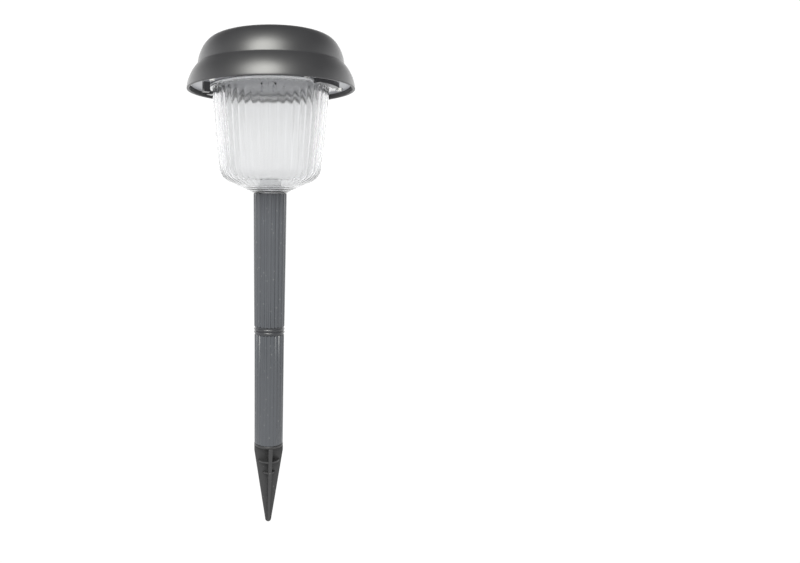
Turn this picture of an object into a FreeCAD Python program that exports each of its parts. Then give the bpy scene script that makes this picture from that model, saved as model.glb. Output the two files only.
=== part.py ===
"""Solar garden light on a push-together stake, in millimetres.

The origin is the tip of the ground spike, +Z points up and -Y is the front of the light.
Angles round the light are degrees from +X towards +Y. Each sub-part is one STEP file in parts/.
"""
import math
import os

import FreeCAD, Part

V = FreeCAD.Vector
ORIGIN = V(0, 0, 0)
UP = V(0, 0, 1)

# Stack of the main pieces along the light's axis
SHOULDER_Z = 65.4          # the lower tube stands on the spike here, at soil level
LOWER_TUBE_H = 86.7
COLLAR_H = 6.0
UPPER_TUBE_H = 101.3
LOWER_TUBE_TOP = SHOULDER_Z + LOWER_TUBE_H
COLLAR_TOP = LOWER_TUBE_TOP + COLLAR_H
NECK_Z = COLLAR_TOP + UPPER_TUBE_H

# Stake tubes: drafted outside, plain bore inside, shallow round flutes all round
LOWER_TUBE_R = (11.1, 11.4)
UPPER_TUBE_R = (11.65, 12.5)
LOWER_BORE_R = 9.5
UPPER_BORE_R = 10.1
FLUTES = 24
FLUTE_R = 1.1
FLUTE_DEPTH = 0.4
PUSH_FIT = 0.1             # radial clearance of a spigot that pulls out
PRESS_GAP = 0.02           # radial gap of a spigot that stays in
SPIGOT_WALL = 2.0
SPIGOT_LENGTH = 20.0

# Ground spike: four fins inside a cone
SPIKE_R = 11.3
SPIKE_CONE_TOP = 59.4
SPIKE_TIP_R = 2.4
SPIKE_FIN_HALF = (0.9, 1.5)   # half thickness of a fin at the tip and at the flange
SPIKE_FLANGE_H = 1.8
SPIKE_TURN = 9.0
SPIKE_WEBS = ((51.0, 0.86), (41.0, 0.6))   # height, share of the cone's radius
WEB_H = 1.2

# Collar beads on the coupler
BEAD_R = 1.0
BEAD_REACH = 11.8
BEAD_PITCH = 2.4
COLLAR_CORE_R = 11.0

# Lens: a clear bowl. Its outline runs from the neck up to the lip.
LENS_NECK_R = 12.4
LENS_FOOT = (30.9, 268.3)     # radius and height where the shallow floor turns up
LENS_HAUNCH = (38.3, 279.0)   # where the turn ends and the tall wall begins
LENS_WALL_TOP = (43.0, 331.6)
LENS_FLOOR_R = 14.2           # radius of the turn
LENS_SIDE_R = 718.0           # radius of the slightly barrelled wall
LENS_THICK = 1.8
LIP_R = 45.0
LIP_Z = 335.7
LIP_H = 1.5
LENS_TOP = 337.9

# Cap: two convex tiers and a rounded shoulder. Each tier is an arc that starts nearly upright.
RIM = (62.1, 334.9)
CREASE = (54.0, 352.4)
SHOULDER = (49.0, 366.0)
TOP_EDGE = (36.6, 372.5)
RIM_LEAN = 5.2
CREASE_LEAN = 5.5
CAP_WALL = 2.0
SHOULDER_ARC_R = 15.2

# Base plate that closes the cap from below
PLATE_Z = 338.2
PLATE_H = 1.8
PLATE_R = 58.8
PLATE_TOP = PLATE_Z + PLATE_H
LOCATOR_R = 40.6
LOCATOR_WALL = 1.5
LOCATOR_DROP = 1.2

# Bayonet: two hooks on the plate hold two tabs on the lens
BAYONET_STARTS = (-50.0, 130.0)
HOOK_ARC = 33.0
TAB_OFFSET = 3.0           # degrees from the hook's closed end to the tab's end
TAB_ARCS = (57.0, 30.0)     # unequal, so that the bowl fits only one way round
STOP_ARC = 2.5
LUG_START = 197.5           # the lug meets the second tab's end when the cap is fully turned
LUG_ARC = 5.5
LUG_IN_R = 47.0
LUG_Z = 331.0
HOOK_OUT_R = 51.5
HOOK_IN_R = 49.0
LEDGE_IN_R = 46.2
LEDGE_Z = 334.6
LEDGE_H = 1.4
TAB_R = 48.4
TAB_Z = 336.3

# Screws that hold the plate to four bosses inside the cap
SCREW_RING_R = 51.8
SCREW_ANGLES = (8.0, 98.0, 218.0, 298.0)
BOSS_R = 3.3
SCREW_SHANK_R = 1.4
SCREW_HEAD_R = 2.6
SCREW_HEAD_H = 1.8
SCREW_LENGTH = 8.0
SCREW_GAP = 0.1

# Solar panel in a square recess in the cap's flat top
PANEL_SIDE = 45.0
SEAL_WALL = 0.5
RECESS_DEPTH = 3.2
RECESS_WALL = 1.6
BOARD_H = 1.2
CELL_H = 0.3
CELL_COUNT = 4
CELL_GAP = 1.0
CELL_MARGIN = 2.5
RIBBON_H = 0.1
RIBBON_WIDTH = 1.2
WINDOW_H = 1.2
TOP_Z = TOP_EDGE[1]
RECESS_Z = TOP_Z - RECESS_DEPTH
CELL_Z = RECESS_Z + 0.1 + BOARD_H
RIBBON_Z = CELL_Z + CELL_H
WINDOW_Z = RIBBON_Z + RIBBON_H + 0.1
WIRE_HOLE = V(0, -14, 0)
WIRE_HOLE_R = 2.5

# Battery bay on the plate: one AA cell lying along X
BAY_Y = 16.5
BAY_INSIDE = (54.0, 15.6)
BAY_WALL = 2.4
BAY_TOP = PLATE_Z + 12.4
CELL_AA_R = 7.25
CELL_AA_LENGTH = 49.5
CELL_AA_NUB_R = 2.7
CELL_AA_NUB = 1.0
BATTERY_Z = PLATE_TOP + 0.5 + CELL_AA_R
BATTERY_X = -24.0          # flat end of the cell, against the spring
CONTACT_H = 0.4
CONTACT_WIDTH = 10.0
TAG_WIDTH = 3.0             # the solder tag that stands above the bay
TAG_RISE = 2.0
CONTACT_FOOT = 1.5          # the contacts start this far above the plate
SPRING_WIRE_R = 0.35
SPRING_R = 3.4
SPRING_TURNS = 1.5
SPRING_SIDES = 12

# Battery door, hinged along the bay's back edge
DOOR_OPENING = (56.2, 17.8)
DOOR_GAP = 0.3
DOOR_PIN_R = 0.55
DOOR_PIN_HOLE_R = 0.6
DOOR_PIN_LENGTH = 1.1
GRIP_SIZE = (12.0, 2.6, 0.8)

# Circuit board and what is on it
PCB_Z = PLATE_Z + 5.6
PCB_H = 1.6
PCB_TOP = PCB_Z + PCB_H
PCB_X = (-20.0, 20.0)
PCB_Y = (-27.0, 4.0)
BOARD_SCREW_X = 16.5
BOARD_SCREW_Y = -23.0
POST_R = 2.6
BOARD_SCREW_R = 1.0
BOARD_SCREW_HEAD_R = 1.9
BOARD_SCREW_HEAD_H = 1.2
BOARD_SCREW_LENGTH = 4.6
BOARD_RECESS_H = 0.7
LEAD_HOLE_R = 0.45
CHOKE_PLACE = (12.0, -6.0)
CHOKE_R = 3.0
CHOKE_WAIST_R = 2.4
CHOKE_H = 6.0
CHOKE_CHEEK = 1.0           # thickness of the flange at each end of the barrel
CHOKE_LIFT = 0.4
CHOKE_LEG_X = 1.5
CHIP_PLACE = (-11.0, -6.0)
CHIP_SIZE = (5.2, 1.8, 3.4)
CHIP_LIFT = 2.0
CHIP_LEGS = (-1.9, -0.63, 0.63, 1.9)
RESISTOR_PLACE = (0.0, -21.0)
RESISTOR_R = 1.1
RESISTOR_LENGTH = 6.0
RESISTOR_LEAD_R = 0.3
RESISTOR_REACH = 4.4        # from the middle to each bent leg
RESISTOR_LIFT = 1.3
LED_R = 2.5
LED_TIP_Z = PLATE_Z - 4.4
LED_FLANGE_Z = PLATE_Z + 2.6
LED_FLANGE_R = 2.9
LED_FLANGE_H = 1.0
LED_PITCH = 2.54
LEAD_SIDE = 0.5
LEG_BITE = 0.2              # how far a leg runs up into the part it carries
SWITCH_Y = -16.0
SWITCH_SIZE = (9.0, 4.4)
SWITCH_Z = PLATE_TOP + 0.3
KNOB_SIZE = (2.0, 1.8)
KNOB_Z = PLATE_Z - 1.7
KNOB_TRAVEL = 3.0
KNOB_GAP = 0.2
WIRE_R = 0.6
PANEL_WIRE_X = 1.0          # the two panel wires leave the board side by side
PANEL_WIRE_DROP = 7.0
PANEL_WIRE_FOOT = (4.5, 3.0)    # how far the wire's foot stands outwards and back from its hole
PANEL_WIRE_SLACK = 8.0
PANEL_WIRE_BEND = 3.0
CELL_WIRE_OVER_Y = 3.5
CELL_WIRE_FOOT = (17.0, 0.5)
CELL_WIRE_SLACK = 5.0
CELL_WIRE_BEND = 1.8


def turned(shape, angle):
    """A copy of the shape, turned about the light's axis."""
    copy = shape.copy()
    copy.rotate(ORIGIN, UP, angle)
    return copy


def disc(radius, z, height, x=0.0, y=0.0):
    return Part.makeCylinder(radius, height, V(x, y, z))


def ring(outer, inner, z, height):
    return disc(outer, z, height).cut(disc(inner, z, height))


def block(x0, x1, y0, y1, z0, z1):
    return Part.makeBox(x1 - x0, y1 - y0, z1 - z0, V(x0, y0, z0))


def bar(radius, x0, x1, y, z):
    """A round bar along X."""
    return Part.makeCylinder(radius, x1 - x0, V(x0, y, z), V(1, 0, 0))


def sector(outer, inner, start, arc, z, height):
    """A piece of a ring that spans arc degrees from start."""
    piece = Part.makeCylinder(outer, height, V(0, 0, z), UP, arc)
    return turned(piece.cut(disc(inner, z, height)), start)


def point(r, z):
    return V(r, 0, z)


def line(a, b):
    return Part.LineSegment(point(*a), point(*b)).toShape()


def spun(edges):
    """The solid that an outline in the XZ half plane sweeps round the axis."""
    face = Part.Face(Part.Wire(edges))
    return Part.Solid(face.revolve(ORIGIN, UP, 360))


def outline(points):
    """Straight edges through the points, closed."""
    return [line(a, b) for a, b in zip(points, points[1:] + points[:1])]


def leaning_circle(start, end, lean):
    """Centre and radius of the arc from start to end that leaves start leaning inwards by lean."""
    inward = (-math.cos(math.radians(lean)), -math.sin(math.radians(lean)))
    chord = (end[0] - start[0], end[1] - start[1])
    radius = (chord[0] ** 2 + chord[1] ** 2) / (2 * (chord[0] * inward[0] + chord[1] * inward[1]))
    return (start[0] + radius * inward[0], start[1] + radius * inward[1]), radius


def chord_circle(a, b, radius):
    """Centre of a circle of the given radius through a and b, on the side nearer the axis and top."""
    half = math.dist(a, b) / 2
    away = math.sqrt(radius ** 2 - half ** 2) / (2 * half)
    return (a[0] + b[0]) / 2 - (b[1] - a[1]) * away, (a[1] + b[1]) / 2 + (b[0] - a[0]) * away


def arc(centre, a, b):
    """The short arc from a to b about centre."""
    radius = math.dist(centre, a)
    middle = ((a[0] + b[0]) / 2 - centre[0], (a[1] + b[1]) / 2 - centre[1])
    reach = radius / math.hypot(*middle)
    through = (centre[0] + middle[0] * reach, centre[1] + middle[1] * reach)
    return Part.Arc(point(*a), point(*through), point(*b)).toShape()


def crossing(c1, r1, c2, r2):
    """The crossing of two circles that lies further from the axis."""
    d = math.dist(c1, c2)
    along = (d * d + r1 * r1 - r2 * r2) / (2 * d)
    aside = math.sqrt(r1 * r1 - along * along)
    ux, uz = (c2[0] - c1[0]) / d, (c2[1] - c1[1]) / d
    found = [(c1[0] + along * ux + s * aside * uz, c1[1] + along * uz - s * aside * ux) for s in (1, -1)]
    return max(found)


def circle_at_z(centre, radius, z):
    return centre[0] + math.sqrt(radius ** 2 - (z - centre[1]) ** 2), z


def pulled_in(centre, p, depth):
    """The point p moved towards the arc's centre by depth."""
    share = 1 - depth / math.dist(centre, p)
    return centre[0] + (p[0] - centre[0]) * share, centre[1] + (p[1] - centre[1]) * share


def cap_solid(depth):
    """The filled outline of the cap, pulled in by depth all over and level at the rim."""
    lower_c, lower_r = leaning_circle(RIM, CREASE, RIM_LEAN)
    upper_c, upper_r = leaning_circle(CREASE, SHOULDER, CREASE_LEAN)
    round_c = (TOP_EDGE[0], TOP_Z - SHOULDER_ARC_R)
    rim = circle_at_z(lower_c, lower_r - depth, RIM[1])
    crease = crossing(lower_c, lower_r - depth, upper_c, upper_r - depth)
    shoulder = pulled_in(upper_c, SHOULDER, depth)
    top = (TOP_EDGE[0], TOP_Z - depth)
    edges = [line((0, RIM[1]), rim), arc(lower_c, rim, crease), arc(upper_c, crease, shoulder)]
    edges += [arc(round_c, shoulder, top), line(top, (0, top[1])), line((0, top[1]), (0, RIM[1]))]
    return spun(edges)


def fluted_tube(z, height, radii, bore_r):
    """A slightly drafted tube with shallow round flutes all round."""
    low, high = radii
    axis_out = FLUTE_R - FLUTE_DEPTH
    run = V(high - low, 0, height)
    overrun = run * (1.0 / height)
    start = V(low + axis_out, 0, z) - overrun
    flute = Part.makeCylinder(FLUTE_R, run.Length + 2, start, run)
    flutes = [turned(flute, (i + 0.5) * 360 / FLUTES) for i in range(FLUTES)]
    return Part.makeCone(low, high, height, V(0, 0, z)).cut(flutes + [disc(bore_r, z, height)])


def spigot(radius, z, height):
    """A hollow round peg."""
    return ring(radius, radius - SPIGOT_WALL, z, height)


def spike_radius(z):
    """Radius of the cone that the fins fill at height z."""
    return SPIKE_TIP_R + (SPIKE_R - SPIKE_TIP_R) * (z - SPIKE_TIP_R) / (SPIKE_CONE_TOP - SPIKE_TIP_R)


def spike():
    tip = Part.makeSphere(SPIKE_TIP_R, V(0, 0, SPIKE_TIP_R))
    cone = Part.makeCone(SPIKE_TIP_R, SPIKE_R, SPIKE_CONE_TOP - SPIKE_TIP_R, V(0, 0, SPIKE_TIP_R))
    shoulder = disc(SPIKE_R, SPIKE_CONE_TOP, SHOULDER_Z - SPIKE_CONE_TOP)
    envelope = tip.fuse([cone, shoulder])
    thin, thick = SPIKE_FIN_HALF
    corners = [V(-SPIKE_R, -thin, 0), V(-SPIKE_R, thin, 0), V(-SPIKE_R, thick, SHOULDER_Z)]
    corners += [V(-SPIKE_R, -thick, SHOULDER_Z), V(-SPIKE_R, -thin, 0)]
    fin = Part.Face(Part.makePolygon(corners)).extrude(V(2 * SPIKE_R, 0, 0))
    body = envelope.common(fin.fuse(turned(fin, 90)))
    webs = [disc(spike_radius(z) * share, z, WEB_H) for z, share in SPIKE_WEBS]
    flange = disc(SPIKE_R, SHOULDER_Z - SPIKE_FLANGE_H, SPIKE_FLANGE_H)
    peg = spigot(LOWER_BORE_R - PUSH_FIT, SHOULDER_Z, SPIGOT_LENGTH)
    return turned(body.fuse(webs + [flange, peg]).removeSplitter(), SPIKE_TURN)


def coupler():
    """A beaded collar with a spigot into each tube, and a passage right through."""
    core = disc(COLLAR_CORE_R, LOWER_TUBE_TOP, COLLAR_H)
    middle = LOWER_TUBE_TOP + COLLAR_H / 2
    heights = (middle - BEAD_PITCH / 2, middle + BEAD_PITCH / 2)
    beads = [Part.makeTorus(BEAD_REACH - BEAD_R, BEAD_R, V(0, 0, z)) for z in heights]
    below = disc(LOWER_BORE_R - PRESS_GAP, LOWER_TUBE_TOP - SPIGOT_LENGTH, SPIGOT_LENGTH)
    above = disc(UPPER_BORE_R - PUSH_FIT, COLLAR_TOP, SPIGOT_LENGTH)
    passage_r = LOWER_BORE_R - SPIGOT_WALL
    whole = SPIGOT_LENGTH * 2 + COLLAR_H
    passage = disc(passage_r, LOWER_TUBE_TOP - SPIGOT_LENGTH, whole)
    return core.fuse(beads + [below, above]).cut(passage).removeSplitter()


def lens():
    """The clear bowl with its lip, two bayonet tabs and the spigot that plugs into the upper tube."""
    t = LENS_THICK
    floor_c = chord_circle(LENS_FOOT, LENS_HAUNCH, LENS_FLOOR_R)
    side_c = chord_circle(LENS_HAUNCH, LENS_WALL_TOP, LENS_SIDE_R)
    foot_in = pulled_in(floor_c, LENS_FOOT, t)
    haunch_in = pulled_in(floor_c, LENS_HAUNCH, t)
    wall_in = pulled_in(side_c, LENS_WALL_TOP, t)
    spigot_r = UPPER_BORE_R - PUSH_FIT
    hole_r = spigot_r - SPIGOT_WALL
    floor_in = (hole_r, NECK_Z + 1.2)
    mouth_r = LENS_WALL_TOP[0] - t
    spigot_foot = NECK_Z - SPIGOT_LENGTH
    outside = [(hole_r, spigot_foot), (spigot_r, spigot_foot), (spigot_r, NECK_Z), (LENS_NECK_R, NECK_Z)]
    edges = [line(a, b) for a, b in zip(outside, outside[1:])]
    edges += [line(outside[-1], LENS_FOOT), arc(floor_c, LENS_FOOT, LENS_HAUNCH)]
    edges += [arc(side_c, LENS_HAUNCH, LENS_WALL_TOP)]
    top = [LENS_WALL_TOP, (LENS_WALL_TOP[0], LIP_Z), (LIP_R, LIP_Z), (LIP_R, LIP_Z + LIP_H)]
    top += [(LENS_WALL_TOP[0], LIP_Z + LIP_H), (LENS_WALL_TOP[0], LENS_TOP), (mouth_r, LENS_TOP), wall_in]
    edges += [line(a, b) for a, b in zip(top, top[1:])]
    edges += [arc(side_c, wall_in, haunch_in), arc(floor_c, haunch_in, foot_in)]
    edges += [line(foot_in, floor_in), line(floor_in, outside[0])]
    inner_r = LENS_WALL_TOP[0] - t / 2
    tabs = []
    for start, turn in zip(BAYONET_STARTS, TAB_ARCS):
        tabs.append(sector(TAB_R, inner_r, start + TAB_OFFSET, turn, TAB_Z, LENS_TOP - TAB_Z))
    return spun(edges).fuse(tabs).removeSplitter()


def screw_places():
    for angle in SCREW_ANGLES:
        yield turned_point(SCREW_RING_R, angle)


def turned_point(r, angle):
    return r * math.cos(math.radians(angle)), r * math.sin(math.radians(angle))


def square(side, z, height, inner=0.0):
    """A square slab centred on the axis, with a square hole where inner is given."""
    slab = block(-side / 2, side / 2, -side / 2, side / 2, z, z + height)
    if not inner:
        return slab
    return slab.cut(block(-inner / 2, inner / 2, -inner / 2, inner / 2, z, z + height))


def cap_shell():
    """The two-tier cap, with the panel recess in its top and four screw bosses inside."""
    outside = cap_solid(0)
    shell = outside.cut(cap_solid(CAP_WALL))
    places = list(screw_places())
    room = cap_solid(CAP_WALL / 2)
    bosses = [disc(BOSS_R, PLATE_TOP, TOP_Z - PLATE_TOP, x, y).common(room) for x, y in places]
    recess_side = PANEL_SIDE + 2 * SEAL_WALL
    well = square(recess_side + 2 * RECESS_WALL, RECESS_Z - RECESS_WALL, RECESS_DEPTH)
    shell = shell.fuse(bosses + [well])
    pilots = [disc(SCREW_SHANK_R + SCREW_GAP, PLATE_TOP, SCREW_LENGTH, x, y) for x, y in places]
    recess = square(recess_side, RECESS_Z, RECESS_DEPTH)
    hole = disc(WIRE_HOLE_R, RECESS_Z - RECESS_WALL, RECESS_WALL, WIRE_HOLE.x, WIRE_HOLE.y)
    return shell.cut(pilots + [recess, hole]).removeSplitter()


def cell_spans():
    """Start and end along X of each solar cell."""
    width = PANEL_SIDE - 2 * CELL_MARGIN
    each = (width - CELL_GAP * (CELL_COUNT - 1)) / CELL_COUNT
    for i in range(CELL_COUNT):
        start = -width / 2 + i * (each + CELL_GAP)
        yield start, start + each


def solar_cells():
    y = PANEL_SIDE / 2 - CELL_MARGIN
    return Part.makeCompound([block(a, b, -y, y, CELL_Z, RIBBON_Z) for a, b in cell_spans()])


def cell_ribbons():
    """One flat silver ribbon along the middle of each cell."""
    y = PANEL_SIDE / 2 - CELL_MARGIN
    half = RIBBON_WIDTH / 2
    top = RIBBON_Z + RIBBON_H
    middles = [(a + b) / 2 for a, b in cell_spans()]
    return Part.makeCompound([block(x - half, x + half, -y, y, RIBBON_Z, top) for x in middles])


def panel_board():
    return square(PANEL_SIDE, CELL_Z - BOARD_H, BOARD_H)


def panel_window():
    return square(PANEL_SIDE, WINDOW_Z, WINDOW_H)


def panel_seal():
    return square(PANEL_SIDE + 2 * SEAL_WALL, RECESS_Z, RECESS_DEPTH - 0.1, PANEL_SIDE)


def rectangle(size, y, z0, z1):
    """A block centred on X and on y."""
    return block(-size[0] / 2, size[0] / 2, y - size[1] / 2, y + size[1] / 2, z0, z1)


def door_hinge():
    """Where the door's pins turn: y and z of their axis."""
    door_back = BAY_Y + DOOR_OPENING[1] / 2 - DOOR_GAP
    return door_back - PLATE_H / 2, PLATE_Z + PLATE_H / 2


def bayonet_hook(start):
    wall = sector(HOOK_OUT_R, HOOK_IN_R, start, HOOK_ARC, LEDGE_Z, PLATE_Z - LEDGE_Z)
    ledge = sector(HOOK_IN_R, LEDGE_IN_R, start, HOOK_ARC, LEDGE_Z, LEDGE_H)
    stop = sector(HOOK_IN_R, LEDGE_IN_R, start, STOP_ARC, LEDGE_Z, PLATE_Z - LEDGE_Z)
    return [wall, ledge, stop]


def base_plate():
    """The plate with its bayonet hooks, lens locating ring, battery bay and board posts."""
    bay = (BAY_INSIDE[0] + 2 * BAY_WALL, BAY_INSIDE[1] + 2 * BAY_WALL)
    added = [rectangle(bay, BAY_Y, PLATE_TOP, BAY_TOP)]
    added.append(ring(LOCATOR_R, LOCATOR_R - LOCATOR_WALL, PLATE_Z - LOCATOR_DROP, LOCATOR_DROP))
    for start in BAYONET_STARTS:
        added += bayonet_hook(start)
    added.append(sector(HOOK_OUT_R, LUG_IN_R, LUG_START, LUG_ARC, LUG_Z, PLATE_Z - LUG_Z))
    posts = [(-BOARD_SCREW_X, BOARD_SCREW_Y), (BOARD_SCREW_X, BOARD_SCREW_Y)]
    added += [disc(POST_R, PLATE_TOP, PCB_Z - PLATE_TOP, x, y) for x, y in posts]
    hinge_y, hinge_z = door_hinge()
    removed = [rectangle(BAY_INSIDE, BAY_Y, PLATE_TOP, BAY_TOP)]
    removed.append(rectangle(DOOR_OPENING, BAY_Y, PLATE_Z, PLATE_TOP))
    pin_end = DOOR_OPENING[0] / 2 + DOOR_PIN_LENGTH + DOOR_GAP
    removed.append(bar(DOOR_PIN_HOLE_R, -pin_end, pin_end, hinge_y, hinge_z))
    removed += [disc(SCREW_SHANK_R + SCREW_GAP, PLATE_Z, PLATE_H, x, y) for x, y in screw_places()]
    removed += [disc(BOARD_SCREW_R + 0.05, PLATE_TOP, PCB_Z - PLATE_TOP, x, y) for x, y in posts]
    removed.append(disc(LED_R + 0.2, PLATE_Z, PLATE_H))
    slot = (KNOB_SIZE[0] + KNOB_TRAVEL + 2 * KNOB_GAP, KNOB_SIZE[1] + 2 * KNOB_GAP)
    removed.append(rectangle(slot, SWITCH_Y, PLATE_Z, PLATE_TOP))
    return disc(PLATE_R, PLATE_Z, PLATE_H).fuse(added).cut(removed).removeSplitter()


def cross_recess(x, y, z, depth):
    """The cutter for a cross-head recess, sunk upwards from z."""
    arm = (2.6, 0.7)
    first = block(x - arm[0] / 2, x + arm[0] / 2, y - arm[1] / 2, y + arm[1] / 2, z, z + depth)
    second = block(x - arm[1] / 2, x + arm[1] / 2, y - arm[0] / 2, y + arm[0] / 2, z, z + depth)
    return first.fuse(second)


def plate_screws():
    """Four cross-head screws, driven up through the plate."""
    head_z = PLATE_Z - SCREW_HEAD_H
    screws = []
    for x, y in screw_places():
        head = Part.makeCone(SCREW_HEAD_R * 0.7, SCREW_HEAD_R, SCREW_HEAD_H, V(x, y, head_z))
        shank = disc(SCREW_SHANK_R, PLATE_Z, SCREW_LENGTH, x, y)
        screws.append(head.fuse(shank).cut(cross_recess(x, y, head_z, 0.9)))
    return Part.makeCompound(screws)


def battery_door():
    """A flat door with a rounded hinge edge, two pins and a fingernail pocket."""
    hinge_y, hinge_z = door_hinge()
    half_x = DOOR_OPENING[0] / 2 - DOOR_GAP
    front = BAY_Y - DOOR_OPENING[1] / 2 + DOOR_GAP
    slab = block(-half_x, half_x, front, hinge_y, PLATE_Z, PLATE_TOP)
    edge = bar(PLATE_H / 2, -half_x, half_x, hinge_y, hinge_z)
    pin_end = DOOR_OPENING[0] / 2 + DOOR_PIN_LENGTH
    pins = bar(DOOR_PIN_R, -pin_end, pin_end, hinge_y, hinge_z)
    grip = block(-GRIP_SIZE[0] / 2, GRIP_SIZE[0] / 2, front + 1.2, front + 1.2 + GRIP_SIZE[1],
                 PLATE_Z, PLATE_Z + GRIP_SIZE[2])
    return slab.fuse([edge, pins]).cut(grip).removeSplitter()


def battery():
    end = BATTERY_X + CELL_AA_LENGTH
    can = bar(CELL_AA_R, BATTERY_X, end, BAY_Y, BATTERY_Z)
    nub = bar(CELL_AA_NUB_R, end, end + CELL_AA_NUB, BAY_Y, BATTERY_Z)
    return can.fuse(nub)


def contact_plates():
    """A flat sprung plate at each end of the cell, with a solder tag that stands above the bay."""
    inner_low = -BAY_INSIDE[0] / 2
    inner_high = BATTERY_X + CELL_AA_LENGTH + CELL_AA_NUB
    plates = []
    for x in (inner_low, inner_high):
        half_face = CONTACT_WIDTH / 2
        half_tag = TAG_WIDTH / 2
        foot = PLATE_TOP + CONTACT_FOOT
        face = block(x, x + CONTACT_H, BAY_Y - half_face, BAY_Y + half_face, foot, BAY_TOP)
        tag = block(x, x + CONTACT_H, BAY_Y - half_tag, BAY_Y + half_tag, BAY_TOP, BAY_TOP + TAG_RISE)
        plates.append(face.fuse(tag))
    return Part.makeCompound(plates)


def contact_spring():
    """A short spring of drawn wire, many-sided in section, between the plate and the cell's flat end."""
    start = -BAY_INSIDE[0] / 2 + CONTACT_H
    height = BATTERY_X - start - 2 * SPRING_WIRE_R - 0.1
    helix = Part.makeHelix(height / SPRING_TURNS, height, SPRING_R, 0)
    first = helix.Edges[0]
    origin = first.valueAt(first.FirstParameter)
    tangent = first.tangentAt(first.FirstParameter).normalize()
    across = tangent.cross(V(1, 0, 0)).normalize()
    beside = tangent.cross(across)
    corners = []
    for i in range(SPRING_SIDES + 1):
        angle = 2 * math.pi * i / SPRING_SIDES
        spoke = across * math.cos(angle) + beside * math.sin(angle)
        corners.append(origin + spoke * SPRING_WIRE_R)
    coil = Part.Wire(helix.Edges).makePipeShell([Part.makePolygon(corners)], True, True)
    coil.rotate(ORIGIN, V(0, 1, 0), 90)
    coil.translate(V(start + SPRING_WIRE_R + 0.05, BAY_Y, BATTERY_Z))
    return coil


def circuit_board():
    board = block(PCB_X[0], PCB_X[1], PCB_Y[0], PCB_Y[1], PCB_Z, PCB_TOP)
    sides = (-BOARD_SCREW_X, BOARD_SCREW_X)
    holes = [disc(BOARD_SCREW_R + 0.2, PCB_Z, PCB_H, x, BOARD_SCREW_Y) for x in sides]
    leads = [disc(LEAD_HOLE_R, PCB_Z, PCB_H, x, 0) for x in (-LED_PITCH / 2, LED_PITCH / 2)]
    return board.cut(holes + leads)


def board_screws():
    screws = []
    for x in (-BOARD_SCREW_X, BOARD_SCREW_X):
        head = disc(BOARD_SCREW_HEAD_R, PCB_TOP, BOARD_SCREW_HEAD_H, x, BOARD_SCREW_Y)
        shank = disc(BOARD_SCREW_R, PCB_TOP - BOARD_SCREW_LENGTH, BOARD_SCREW_LENGTH, x, BOARD_SCREW_Y)
        recess_z = PCB_TOP + BOARD_SCREW_HEAD_H - BOARD_RECESS_H
        screws.append(head.fuse(shank).cut(cross_recess(x, BOARD_SCREW_Y, recess_z, BOARD_RECESS_H)))
    return Part.makeCompound(screws)


def legs(places, z0, z1):
    half = LEAD_SIDE / 2
    return [block(x - half, x + half, y - half, y + half, z0, z1) for x, y in places]


def inductor():
    """A barrel choke that stands on the board."""
    x, y = CHOKE_PLACE
    foot = PCB_TOP + CHOKE_LIFT
    barrel = disc(CHOKE_R, foot, CHOKE_H, x, y)
    groove = ring(CHOKE_R, CHOKE_WAIST_R, foot + CHOKE_CHEEK, CHOKE_H - 2 * CHOKE_CHEEK)
    waist = barrel.cut(groove.translate(V(x, y, 0)))
    return waist.fuse(legs([(x - CHOKE_LEG_X, y), (x + CHOKE_LEG_X, y)], PCB_TOP, foot + LEG_BITE))


def driver_chip():
    """A small four-legged charging and boost driver, standing on its legs."""
    x, y = CHIP_PLACE
    length, depth, height = CHIP_SIZE
    foot = PCB_TOP + CHIP_LIFT
    body = block(x - length / 2, x + length / 2, y - depth / 2, y + depth / 2, foot, foot + height)
    return body.fuse(legs([(x + across, y) for across in CHIP_LEGS], PCB_TOP, foot + LEG_BITE))


def resistor():
    """An axial resistor with its leads bent down into the board."""
    x, y = RESISTOR_PLACE
    z = PCB_TOP + RESISTOR_LIFT
    half = RESISTOR_LENGTH / 2
    reach = RESISTOR_REACH + LEG_BITE
    body = bar(RESISTOR_R, x - half, x + half, y, z)
    lead = bar(RESISTOR_LEAD_R, x - reach, x + reach, y, z)
    return body.fuse([lead] + legs([(x - RESISTOR_REACH, y), (x + RESISTOR_REACH, y)], PCB_TOP, z))


def led():
    """A five millimetre lamp that points down through the plate."""
    dome = Part.makeSphere(LED_R, V(0, 0, LED_TIP_Z + LED_R))
    body = disc(LED_R, LED_TIP_Z + LED_R, LED_FLANGE_Z - LED_TIP_Z - LED_R)
    return dome.fuse([body, disc(LED_FLANGE_R, LED_FLANGE_Z, LED_FLANGE_H)]).removeSplitter()


def led_places():
    return [(-LED_PITCH / 2, 0), (LED_PITCH / 2, 0)]


def led_leads():
    return Part.makeCompound(legs(led_places(), LED_FLANGE_Z + LED_FLANGE_H, PCB_TOP + 0.8))


def led_spacer():
    z = LED_FLANGE_Z + LED_FLANGE_H
    holes = [disc(0.45, z, PCB_Z - z, x, y) for x, y in led_places()]
    return disc(LED_FLANGE_R, z, PCB_Z - z).cut(holes)


def switch_body():
    """The slide switch's case, open below for its knob."""
    case = rectangle(SWITCH_SIZE, SWITCH_Y, SWITCH_Z, PCB_Z)
    slot = (KNOB_SIZE[0] + KNOB_TRAVEL + 2 * KNOB_GAP, KNOB_SIZE[1] + 2 * KNOB_GAP)
    return case.cut(rectangle(slot, SWITCH_Y, SWITCH_Z, SWITCH_Z + 2.0))


def switch_knob():
    """The knob at the off end of its travel, which runs along +X."""
    x = -KNOB_TRAVEL / 2
    half_x, half_y = KNOB_SIZE[0] / 2, KNOB_SIZE[1] / 2
    stem = block(x - half_x, x + half_x, SWITCH_Y - half_y, SWITCH_Y + half_y, KNOB_Z, SWITCH_Z + 1.8)
    return stem


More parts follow.
